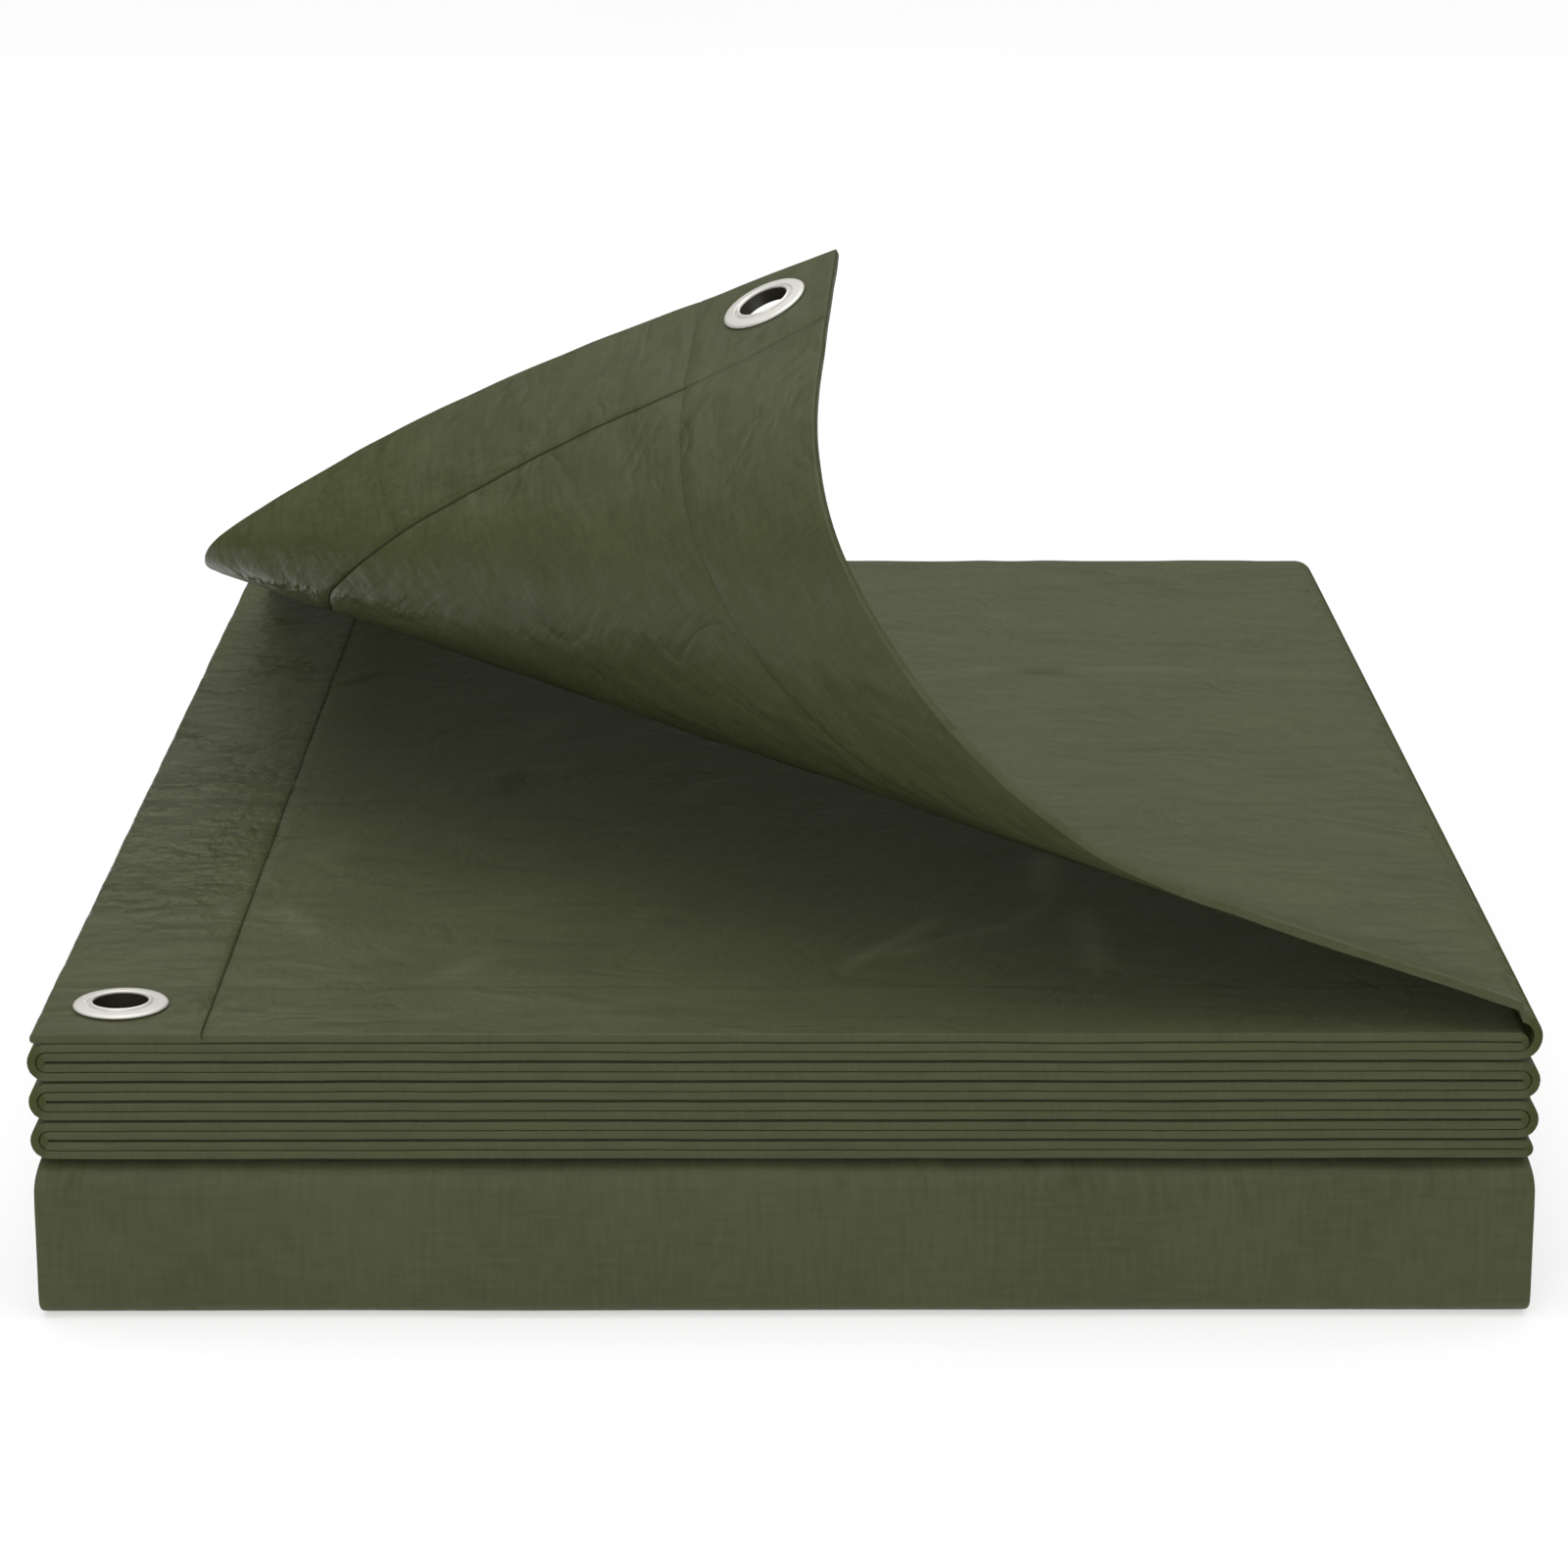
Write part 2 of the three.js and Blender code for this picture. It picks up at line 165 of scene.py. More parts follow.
def waves(x, y, length, seed, count=14, stretch=(1.0, 1.0)):
    """An even, seeded unevenness from about -1 to 1, with bumps about this length apart."""
    chance = np.random.default_rng(seed)
    total = np.zeros(np.broadcast(x, y).shape)
    for _ in range(count):
        heading = chance.uniform(0, 2 * math.pi)
        turns = 2 * math.pi / (length * chance.uniform(0.6, 1.8))
        phase = chance.uniform(0, 2 * math.pi)
        along = x * math.cos(heading) / stretch[0] + y * math.sin(heading) / stretch[1]
        total += np.sin(along * turns + phase)
    return total / math.sqrt(count / 2) / 1.8


def crease(x, y, start, end, width, height):
    """A soft ridge along the line between two points of the cloth, fading at both ends."""
    (x0, y0), (x1, y1) = start, end
    length = math.hypot(x1 - x0, y1 - y0)
    ux, uy = (x1 - x0) / length, (y1 - y0) / length
    along = (x - x0) * ux + (y - y0) * uy
    across = (y - y0) * ux - (x - x0) * uy
    fade = smooth(-0.1 * length, 0.3 * length, along)
    fade *= 1 - smooth(0.7 * length, 1.1 * length, along)
    return height * fade * np.exp(-((across / width) ** 2))


def creased(x, y, creases):
    """How far all the creases of a table raise the cloth."""
    return sum(crease(x, y, *one) for one in creases)


# The fan of bends that turns the corner back


def bend_fan():
    fan = []
    for here, after in zip(BEND_LINES, BEND_LINES[1:]):
        for step in range(BENDS_PER_ROW):
            share = (step + 0.5) / BENDS_PER_ROW
            side = here["side"] + (after["side"] - here["side"]) * share
            front = here["front"] + (after["front"] - here["front"]) * share
            start = np.array([FLAP_EDGE, side, 0.0])
            axis = np.array([front, 0.0, 0.0]) - start
            axis /= np.linalg.norm(axis)
            angle = -math.radians((after["bend"] - here["bend"]) / BENDS_PER_ROW)
            fan.append((start, axis, angle))
    return fan


def turn_back(x, from_front, height):
    """Points of the flat layer, carried round every bend between them and the flat side."""
    points = np.stack([x, from_front, height], axis=1)
    for start, axis, angle in reversed(bend_fan()):
        corner_side = axis[0] * (from_front - start[1]) - axis[1] * (x - start[0]) < 0
        v = points[corner_side] - start
        turned = (
            v * math.cos(angle)
            + np.cross(axis, v) * math.sin(angle)
            + np.outer(v @ axis, axis) * (1 - math.cos(angle))
        )
        points[corner_side] = turned + start
    return points


def flap_points(x, y, height):
    points = turn_back(x, y - FRONT, height)
    points[:, 1] += FRONT
    points[:, 2] += TOP_LEVEL
    return points


# Sections: middle lines of a folded sheet


def arc(a, upper, lower, steps):
    """A half turn from one level to another, bulging away from the middle."""
    angles = np.linspace(0, math.pi, steps + 1)
    middle = (upper + lower) / 2
    radius = (upper - lower) / 2
    return [
        (a + math.copysign(abs(radius), a) * math.sin(t), middle + radius * math.cos(t)) for t in angles
    ]


def spaced(start, end, step):
    """Positions between two ends, without the ends, about a step apart."""
    count = max(1, round(abs(end - start) / step))
    return list(np.linspace(start, end, count + 1)[1:-1])


def upper_level(strip):
    return FIRST_STRIP_LEVEL - STRIP_PITCH * (strip - 2)


def lower_level(strip):
    return upper_level(strip) - PAIR_PITCH


EDGE_STEPS = [0.0, 0.12 * MM, 0.35 * MM, 0.75 * MM, 1.3 * MM, 2.4 * MM]


def hem_columns(edge, width, step):
    """Positions from a hemmed edge to just past its hem line, which gets three close ones."""
    inner = edge + width
    columns = [edge + d for d in EDGE_STEPS]
    columns += spaced(columns[-1], inner - HEM_LINE_HALF, step)
    return columns + [inner - HEM_LINE_HALF, inner, inner + HEM_LINE_HALF]


# Rows, as distances from the front
RIM_STEPS = [0.0, 0.12 * MM, 0.4 * MM, 1.2 * MM]
BACK_RIM = [DEPTH - d for d in reversed(RIM_STEPS)]


def rows_with_hem(hem, steps):
    """Rows from front to back, with close ones at the rims and at the front hem's line."""
    rows = list(RIM_STEPS)
    rows += spaced(RIM_STEPS[-1], hem - HEM_LINE_HALF, steps[0][1])
    rows += [hem - HEM_LINE_HALF, hem, hem + HEM_LINE_HALF]
    for end, step in steps:
        rows += spaced(rows[-1], end, step) + [end]
    return rows[:-1] + BACK_RIM


# Distance that a stretch of rows ends at, and the step between its rows
FLAP_STEPS = [
    (0.196, 3.6 * MM),
    (0.238, 1.8 * MM),
    (0.345, 5 * MM),
    (0.367, 2.2 * MM),
    (0.39, 4 * MM),
    (0.435, 2.2 * MM),
    (DEPTH - RIM_STEPS[-1], 4 * MM),
]
MOUTH_STEPS = [
    (0.12, 2.2 * MM),
    (0.2, 4 * MM),
    (0.264, 2.2 * MM),
    (0.35, 5 * MM),
    (0.382, 2.2 * MM),
    (DEPTH - RIM_STEPS[-1], 4.5 * MM),
]
FLAP_ROWS = rows_with_hem(FLAP_FRONT_HEM, FLAP_STEPS)
MOUTH_ROWS = rows_with_hem(MOUTH_FRONT_HEM, MOUTH_STEPS)
STRIP_ROWS = RIM_STEPS + [4 * MM, 12 * MM, 40 * MM, 0.11, 0.2, 0.3, 0.4, 0.48, 0.506, 0.514] + BACK_RIM


def upper_section():
    """Points of the upper sheet's section, each with the part of the sheet it belongs to."""
    points = [(x, TOP_LEVEL, "flap") for x in hem_columns(FLAP_EDGE, FLAP_HEM_WIDTH, 3.3 * MM)]
    points += [(x, TOP_LEVEL, "flap") for x in spaced(points[-1][0], TOP_TURN_X, 3.2 * MM)]
    points.append((TOP_TURN_X, TOP_LEVEL, "flap"))

    def flat_run(to_x, level):
        start = points[-1][0]
        points.extend((x, level, "strip") for x in spaced(start, to_x, 13 * MM))

    def turn(a, upper, lower, steps):
        flat_run(a, upper)
        points.extend((x, z, "strip") for x, z in arc(a, upper, lower, steps))

    points.extend((x, z, "strip") for x, z in arc(TOP_TURN_X, TOP_LEVEL, lower_level(2), 14)[1:])
    for strip in range(2, STRIPS):
        if strip % 2:
            turn(RIGHT_TURN_X, upper_level(strip), lower_level(strip + 1), 12)
        else:
            turn(-LEFT_TURN_X, lower_level(strip), upper_level(strip + 1), 8)
    turn(HALF_FOLD_X, upper_level(STRIPS), lower_level(STRIPS), 8)
    for strip in range(STRIPS - 1, 1, -1):
        if strip % 2:
            turn(RIGHT_TURN_X, upper_level(strip + 1), lower_level(strip), 8)
        else:
            turn(-LEFT_TURN_X, lower_level(strip + 1), upper_level(strip), 12)
    turn(MOUTH_TURN_X, upper_level(2), MOUTH_LEVEL, 8)
    x, z, _ = points.pop()
    points.append((x, z, "mouth"))
    hem = hem_columns(MOUTH_EDGE, MOUTH_HEM_WIDTH, 3 * MM)[::-1]
    points.extend((at, MOUTH_LEVEL, "mouth") for at in spaced(x, hem[0], 3.2 * MM))
    points.extend((at, MOUTH_LEVEL, "mouth") for at in hem)
    return points


def normals_of(centre):
    """Unit normals of a section, to the left of its direction, and the distance along it."""
    step = np.diff(centre, axis=0)
    length = np.linalg.norm(step, axis=1)
    step = step / length[:, None]
    along = np.vstack([step[:1], step[:-1] + step[1:], step[-1:]])
    along /= np.linalg.norm(along, axis=1)[:, None]
    return np.stack([-along[:, 1], along[:, 0]], axis=1), np.concatenate([[0], np.cumsum(length)])


class Grid:
    """Columns of rows, for both faces of a sheet, with one entry in each array per point."""

    def __init__(self, centre, rows_of):
        centre = np.array(centre, float)
        normal, along = normals_of(centre)
        rows = [np.array(rows_of(i), float) for i in range(len(centre))]
        self.counts = [len(r) for r in rows]
        self.starts = np.concatenate([[0], np.cumsum(self.counts)])
        column = np.repeat(np.arange(len(centre)), self.counts)
        self.column = column
        self.row = np.concatenate(rows)
        self.centre = centre[column]
        self.normal = normal[column]
        self.along = along[column]
        self.length = along[-1]
        self.size = len(column)

    def faces(self, keep=None):
        """Faces of both sides and all rims. Points of the second side follow those of the first."""
        found = []
        other = self.size

        def side(polygon):
            if keep is None or all(keep[i] for i in polygon):
                found.append(polygon)
                found.append([other + i for i in reversed(polygon)])

        columns = len(self.counts)
        for c in range(columns - 1):
            first = range(self.starts[c], self.starts[c + 1])
            second = range(self.starts[c + 1], self.starts[c + 2])
            self._join(first, second, side)
            for i, j in ((first[0], second[0]), (second[-1], first[-1])):
                found.append([i, other + i, other + j, j])
        for c, forward in ((0, True), (columns - 1, False)):
            ends = range(self.starts[c], self.starts[c + 1])
            for i, j in zip(ends, ends[1:]):
                quad = [i, j, other + j, other + i]
                found.append(quad if forward else quad[::-1])
        return found

    def _join(self, first, second, side):
        if len(first) == len(second):
            for i in range(len(first) - 1):
                side([first[i], second[i], second[i + 1], first[i + 1]])
            return
        i = j = 0
        while i + 1 < len(first) or j + 1 < len(second):
            last = j + 1 == len(second)
            if last or (i + 1 < len(first) and self.row[first[i + 1]] <= self.row[second[j + 1]]):
                side([first[i], second[j], first[i + 1]])
                i += 1
            else:
                side([first[i], second[j], second[j + 1]])
                j += 1


def rim_share(distance, radius=1.2 * MM, least=0.6):
    """How thick a sheet is near its edge, as a share of its full thickness."""
    d = np.clip(distance / radius, 0, 1)
    return least + (1 - least) * np.sqrt(1 - (1 - d) ** 2)


def mesh_object(name, points, faces, uv, **values):
    mesh = bpy.data.meshes.new(name)
    mesh.from_pydata([tuple(p) for p in points], [], faces)
    used = np.zeros(len(mesh.loops), np.int32)
    mesh.loops.foreach_get("vertex_index", used)
    layer = mesh.uv_layers.new(name="cloth")
    layer.data.foreach_set("uv", uv[used].astype(np.float32).ravel())
    for key, value in values.items():
        attribute = mesh.attributes.new(key, "FLOAT", "POINT")
        attribute.data.foreach_set("value", np.asarray(value, np.float32))
    mesh.polygons.foreach_set("use_smooth", np.ones(len(mesh.polygons), bool))
    mesh.set_sharp_from_angle(angle=math.radians(48))
    mesh.update()
    piece = bpy.data.objects.new(name, mesh)
    bpy.context.scene.collection.objects.link(piece)
    return piece


def drop_loose(piece):
    """Removes points that no face uses."""
    used = np.zeros(len(piece.data.vertices), bool)
    for polygon in piece.data.polygons:
        used[list(polygon.vertices)] = True
    shape = bmesh.new()
    shape.from_mesh(piece.data)
    shape.verts.ensure_lookup_table()
    bmesh.ops.delete(shape, geom=[shape.verts[i] for i in np.flatnonzero(~used)], context="VERTS")
    shape.to_mesh(piece.data)
    shape.free()


def shared_unevenness(x, y, z):
    """How far the layers of the stack rise and fall together."""
    return 0.09 * MM * waves(x + 1.1 * z, y, 0.07, 11) + 0.03 * MM * waves(x, y + 1.3 * z, 0.03, 12)


class UpperPoints:
    """The upper sheet's points, and which of them lie on its top layer and on its open layer."""

    def __init__(self):
        section = upper_section()
        kinds = [kind for _, _, kind in section]
        rows = {"flap": FLAP_ROWS, "mouth": MOUTH_ROWS, "strip": STRIP_ROWS}
        self.grid = Grid([(x, z) for x, z, _ in section], lambda i: rows[kinds[i]])
        kind = np.array(kinds)[self.grid.column]
        self.flap, self.mouth = kind == "flap", kind == "mouth"
        x, self.z = self.grid.centre.T
        self.y = self.grid.row
        # The flap's side hem isn't equally wide all along
        from_edge = x - FLAP_EDGE
        spread = np.interp(self.y, HEM_SPREAD_AT, HEM_SPREAD)
        reach = np.clip(from_edge / FLAP_HEM_WIDTH, 0, 1) * (1 - smooth(0.06, 0.16, from_edge))
        self.x = np.where(self.flap, x + spread * reach, x)

    def hems(self):
        """1 on the side hems, on the front hems, and on the line of each kind, and 0 elsewhere."""
        on_line = HEM_LINE_HALF / 2
        side = np.zeros(self.grid.size)
        side_line = np.zeros(self.grid.size)
        edges = ((self.flap, FLAP_EDGE, FLAP_HEM_WIDTH), (self.mouth, MOUTH_EDGE, MOUTH_HEM_WIDTH))
        for mask, edge, width in edges:
            away = self.grid.centre[:, 0] - edge - width
            side += mask * (away < -on_line)
            side_line += mask * (np.abs(away) < on_line)
        away = self.y - np.where(self.flap, FLAP_FRONT_HEM, MOUTH_FRONT_HEM)
        hemmed = self.flap | self.mouth
        return side, hemmed * (away < -on_line), side_line, hemmed * (np.abs(away) < on_line)

    def kept(self):
        """Which points stay when the eyelets' holes are cut."""
        keep = np.ones(self.grid.size, bool)
        flat = np.stack([self.x, self.y], axis=1)
        places = ((self.flap, FLAP_EDGE, FLAP_EYELET), (self.mouth, MOUTH_EDGE, MOUTH_EYELET))
        for mask, edge, eyelet in places:
            middle = np.array([edge + eyelet[0], eyelet[1]])
            keep &= ~(mask & (np.linalg.norm(flat - middle, axis=1) < EYELET_HOLE))
        return keep

    def film(self):
        """How loose, how dull and how creased the film is at each point."""
        x, y, flap, mouth = self.x, self.y, self.flap, self.mouth
        loose = np.full(self.grid.size, SMOOTH_FILM)
        loose[flap] = flap_looseness(x[flap], y[flap])
        loose[mouth] = mouth_looseness(x[mouth], y[mouth])
        # The film is dull where the sheet turns, and at the back of the open layer's hem
        dull = smooth(0.97, 0.8, np.abs(self.grid.normal[:, 1]))
        dull[flap] = 0.8 * (loose[flap] - SMOOTH_FILM)
        on_hem = 1 - smooth(0.05, 0.09, x[mouth] - MOUTH_EDGE)
        dull[mouth] = 0.55 * smooth(0.24, 0.4, y[mouth]) * on_hem
        # Crease heights, which the material also uses to paint a highlight on ridges and shade in
        # troughs
        fold = flap * creased(x, y, FLAP_CREASES) + mouth * creased(x, y, MOUTH_CREASES)
        return loose, dull, fold / MM


def upper_sheet():
    upper = UpperPoints()
    grid, flap, mouth = upper.grid, upper.flap, upper.mouth
    x0, y0, z0 = upper.x, upper.y, upper.z
    side, front, side_line, front_line = upper.hems()

    # Half the thickness on each side of the middle line, less at the rims and more on the hems
    half = CLOTH / 2
    thin = rim_share(np.minimum(y0, DEPTH - y0), 0.4 * MM, 0.86)
    ends = np.minimum(grid.along, grid.length - grid.along)
    thin = np.minimum(thin, rim_share(ends, 1.3 * MM, 0.25))
    inner = half + HEM_RISE * side + FRONT_HEM_RISE * front * (1 - 0.6 * side)
    inner = inner - HEM_GROOVE * side_line - 0.3 * HEM_GROOVE * front_line
    outer = half + 0.1 * MM * side

    rise = shared_unevenness(x0, y0, z0)
    rise_flap = flap_relief(x0, y0)
    rise_mouth = mouth_relief(x0, y0)
    points = []
    for face in (1, -1):
        offset = (outer if face > 0 else -inner) * thin
        across = x0 + grid.normal[:, 0] * offset
        height = z0 + grid.normal[:, 1] * offset
        height = height + rise + mouth * rise_mouth
        # The layers' front edges aren't quite in line
        y = FRONT + y0 + 0.12 * MM * waves(x0, 40 * z0, 0.03, 21) * (1 - smooth(0, 0.02, y0))
        place = np.stack([across, y, height], axis=1)
        place[flap] = flap_points(x0[flap], (FRONT + y0)[flap], (offset + rise + rise_flap)[flap])
        points.append(place)

    # The hem lines get painted shade on the face that shows, fainter where the flap's two hems cross
    covered = smooth(0.03, 0.05, y0)
    seam = np.maximum(side_line * np.where(flap, 0.35 + 0.65 * covered, 1.0), 0.25 * front_line)
    loose, dull, fold = upper.film()
    uv = np.stack([grid.along, y0], axis=1)
    piece = mesh_object(
        "tarp_upper",
        np.vstack(points),
        grid.faces(upper.kept()),
        np.vstack([uv, uv]),
        seam=np.concatenate([0 * seam, seam]),
        loose=np.concatenate([loose, loose]),
        dull=np.concatenate([dull, dull]),
        fold=np.concatenate([fold, fold]),
    )
    drop_loose(piece)
    return piece, (grid.length, DEPTH)


def flap_relief(x, y):
    """Creases and small waves of the top layer, outwards from its outer face."""
    loose = 1 - smooth(-0.02, 0.12, x)
    rise = 0.35 * MM * waves(x, y, 0.05, 31, stretch=(1.6, 1.0)) * (0.4 + 0.6 * loose)
    rise += 0.12 * MM * waves(x, y, 0.014, 32, stretch=(1.8, 1.0))
    return rise + creased(x, y, FLAP_CREASES)


def flap_looseness(x, y):
    """How crinkled the film on the top layer is: most at the free side edge, where it turns."""
    from_edge = x - FLAP_EDGE
    at_nose = (1 - smooth(0.03, 0.09, from_edge)) * smooth(0.1, 0.16, y) * (1 - smooth(0.2, 0.24, y))
    at_turn = (1 - smooth(0.1, 0.24, from_edge)) * smooth(0.04, 0.12, y) * (1 - smooth(0.14, 0.2, y))
    return SMOOTH_FILM + 0.6 * at_nose + 0.35 * at_turn


def mouth_looseness(x, y):
    """How crinkled the film on the open corner's layer is: most on its side hem."""
    from_edge = x - MOUTH_EDGE
    on_hem = (1 - smooth(0.035, 0.06, from_edge)) * smooth(0.05, 0.15, y)
    beside = (1 - smooth(0.06, 0.16, from_edge)) * (1 - smooth(0.2, 0.3, y))
    return SMOOTH_FILM + 0.8 * on_hem + 0.35 * beside


def mouth_relief(x, y):
    """Creases and small waves of the layer that the open corner shows, upwards."""
    rise = 0.22 * MM * waves(x, y, 0.04, 41) + 0.1 * MM * waves(x, y, 0.013, 42)
    return (rise + creased(x, y, MOUTH_CREASES)) * smooth(0, 0.012, y)


def nose(upper, lower, reach, steps, squareness):
    """A front turn of the lower bundle, from its upper layer down to its lower one."""
    points = []
    for t in np.linspace(math.pi / 2, -math.pi / 2, steps + 1):
        power = 2 / squareness[0 if t > 0 else 1]
        out = abs(math.cos(t)) ** power
        up = math.copysign(abs(math.sin(t)) ** power, math.sin(t))
        points.append((NOSE_START - reach * out, (upper + lower) / 2 + (upper - lower) / 2 * up))
    return points


def lower_section():
    link = lower_level(STRIPS)
    start = [(BACK_TURN_Y - LINK_LENGTH, link)] + arc(BACK_TURN_Y, link, LOWER_TOP, 8)
    points = [(y, z, "inner") for y, z in start]

    def run_to(y, z):
        points.extend((at, z, "inner") for at in spaced(points[-1][0], y, 60 * MM))

    for nest in range(NESTS):
        inset = nest * NEST_PITCH
        squareness = [s + (ROUND - s) * nest / (NESTS - 1) for s in NOSE_SQUARENESS]
        steps = 60 if nest == 0 else 16
        turn = nose(LOWER_TOP - inset, LOWER_BOTTOM + inset, NOSE_REACH - inset, steps, squareness)
        downward = nest % 2 == 0
        turn = turn if downward else turn[::-1]
        run_to(NOSE_START, turn[0][1])
        points.extend((y, z, "front" if nest == 0 else "inner") for y, z in turn)
        if nest + 1 < NESTS:
            level = LOWER_BOTTOM + inset if downward else LOWER_TOP - inset
            after = level + NEST_PITCH if downward else level - NEST_PITCH
            run_to(BACK_TURN_Y, level)
            points.extend((y, z, "inner") for y, z in arc(BACK_TURN_Y, level, after, 8))
    last = points[-1][1]
    run_to(BACK_TURN_Y, last)
    points.append((BACK_TURN_Y, last, "inner"))
    return points


def lower_sheet():
    section = lower_section()
    kinds = [kind for _, _, kind in section]
    rim = [0.0, 0.3 * MM, 1.2 * MM]
    width = 2 * LOWER_HALF_WIDTH

    def stations(step):
        inside = spaced(rim[-1], width - rim[-1], step)
        return rim + inside + [width - d for d in reversed(rim)]

    fine, coarse = stations(3.2 * MM), stations(24 * MM)
    grid = Grid([(y, z) for y, z, _ in section], lambda i: fine if kinds[i] == "front" else coarse)
    y0, z0 = grid.centre.T
    across = grid.row / width * 2 - 1
    draw_in = FOOT_DRAW_IN * np.clip(1 - z0 / FOOT_HEIGHT, 0, 1) ** 2
    draw_in += SHOULDER_DRAW_IN * np.clip(1 - (LOWER_TOP - z0) / SHOULDER_DEPTH, 0, 1) ** 2
    x0 = -across * (LOWER_HALF_WIDTH - draw_in)
    front = smooth(-0.2, -0.25, y0)
    relief = 0.3 * MM * waves(x0, z0, 0.03, 51, stretch=(2.5, 1.0))
    relief = front * (relief + 0.1 * MM * waves(x0, z0, 0.011, 52))
    thin = rim_share(np.minimum(grid.row, width - grid.row), 1.0 * MM, 0.7)
    points = []
    for face in (1, -1):
        offset = face * LOWER_CLOTH / 2 * thin - relief * smooth(0, 0.006, z0)
        y = y0 + grid.normal[:, 0] * offset
        z = z0 + grid.normal[:, 1] * offset
        points.append(np.stack([x0, y, np.maximum(z, 0)], axis=1))
    uv = np.stack([grid.along, grid.row], axis=1)
    loose = np.full(2 * grid.size, SMOOTH_FILM)
    both = np.vstack([uv, uv])
    piece = mesh_object("tarp_lower", np.vstack(points), grid.faces(), both, loose=loose)
    return piece, (grid.length, width)


# Eyelets


def turned(name, profile, seat):
    """A ring turned about the seat's Z from a closed profile of (radius, height)."""
    segments = EYELET_SEGMENTS
    angles = np.linspace(0, 2 * math.pi, segments, endpoint=False)
    count = len(profile)
    points = [(r * math.cos(t), r * math.sin(t), h) for t in angles for r, h in profile]
    faces = []
    for s in range(segments):
        after = (s + 1) % segments
        for i in range(count):
            j = (i + 1) % count
            faces.append([s * count + i, after * count + i, after * count + j, s * count + j])
    mesh = bpy.data.meshes.new(name)
    mesh.from_pydata(points, [], faces)
    neck = mesh.attributes.new("neck", "FLOAT", "POINT")
    in_neck = [float(r < NECK_RADIUS and h < NECK_TOP) for r, h in profile]
    neck.data.foreach_set("value", in_neck * segments)
    mesh.transform(seat)
    mesh.polygons.foreach_set("use_smooth", np.ones(len(mesh.polygons), bool))
    mesh.set_sharp_from_angle(angle=math.radians(55))
    piece = bpy.data.objects.new(name, mesh)
    bpy.context.scene.collection.objects.link(piece)
    return piece


def rounded(corners, steps=4):
    """A closed outline with its corners rounded, from (radius, height, fillet) corners."""
    outline = []
    count = len(corners)
    for i, (r, h, fillet) in enumerate(corners):
        here = np.array([r, h])
        before = np.array(corners[i - 1][:2]) - here
        after = np.array(corners[(i + 1) % count][:2]) - here
        reach = min(fillet, 0.49 * np.linalg.norm(before), 0.49 * np.linalg.norm(after))
        first = here + before / np.linalg.norm(before) * reach
        last = here + after / np.linalg.norm(after) * reach
        for t in np.linspace(0, 1, steps + 1):
            outline.append(tuple((1 - t) ** 2 * first + 2 * t * (1 - t) * here + t * t * last))
    return outline


def eyelet_profile():
    """Outline of an eyelet, from corners with radii and fillets in millimetres."""
    seat = HEM_HALF + GAP
    foot = -HEM_HALF
    barrel = [(7.0, foot, 0.1), (7.7, foot, 0.25), (7.7, seat, 0.05)]
    flange = [
        (12.0, seat, 0.1),
        (12.2, seat + 0.35 * MM, 0.2),
        (11.7, seat + 0.9 * MM, 0.5),
        (8.75, seat + 1.2 * MM, 0.3),
    ]
    groove = [(8.45, seat + 0.6 * MM, 0.15), (8.25, seat + 0.6 * MM, 0.15)]
    lip = [
        (8.1, seat + 1.35 * MM, 0.3),
        (7.55, seat + 1.65 * MM, 0.35),
        (7.05, seat + 1.2 * MM, 0.3),
        (7.2, seat + 0.8 * MM, 0.1),
        (7.2, seat + 0.7 * MM, 0.05),
    ]
    return rounded([(r * MM, h, f * MM) for r, h, f in barrel + flange + groove + lip])


def washer_profile():
    """Outline of the plain ring behind an eyelet, from corners like those."""
    foot = -HEM_HALF
    head = foot + 1.0 * MM
    corners = [(8.0, foot, 0.2), (11.9, foot, 0.3), (11.9, head, 0.15), (8.0, head, 0.1)]
    return rounded([(r * MM, h, f * MM) for r, h, f in corners])


def mouth_seat():
    """Where the open corner's eyelet sits. Its axis is the hole's."""
    x, y = MOUTH_EDGE + MOUTH_EYELET[0], FRONT + MOUTH_EYELET[1]
    return Matrix.Translation((x, y, MOUTH_LEVEL + 0.2 * MM))


def flap_seat():
    """The same for the turned-back corner's eyelet, carried round the bends with its hole."""
    x, y = FLAP_EDGE + FLAP_EYELET[0], FRONT + FLAP_EYELET[1]
    step = 1 * MM
    at = flap_points(np.array([x, x + step, x]), np.array([y, y, y + step]), np.zeros(3))
    centre, across, back = (Vector(p) for p in at)
    across = (across - centre).normalized()
    back = (back - centre).normalized()
    outward = -across.cross(back)
    axes = Matrix((across, -back, outward)).transposed()
    return Matrix.Translation(centre) @ axes.to_4x4()


# Materials


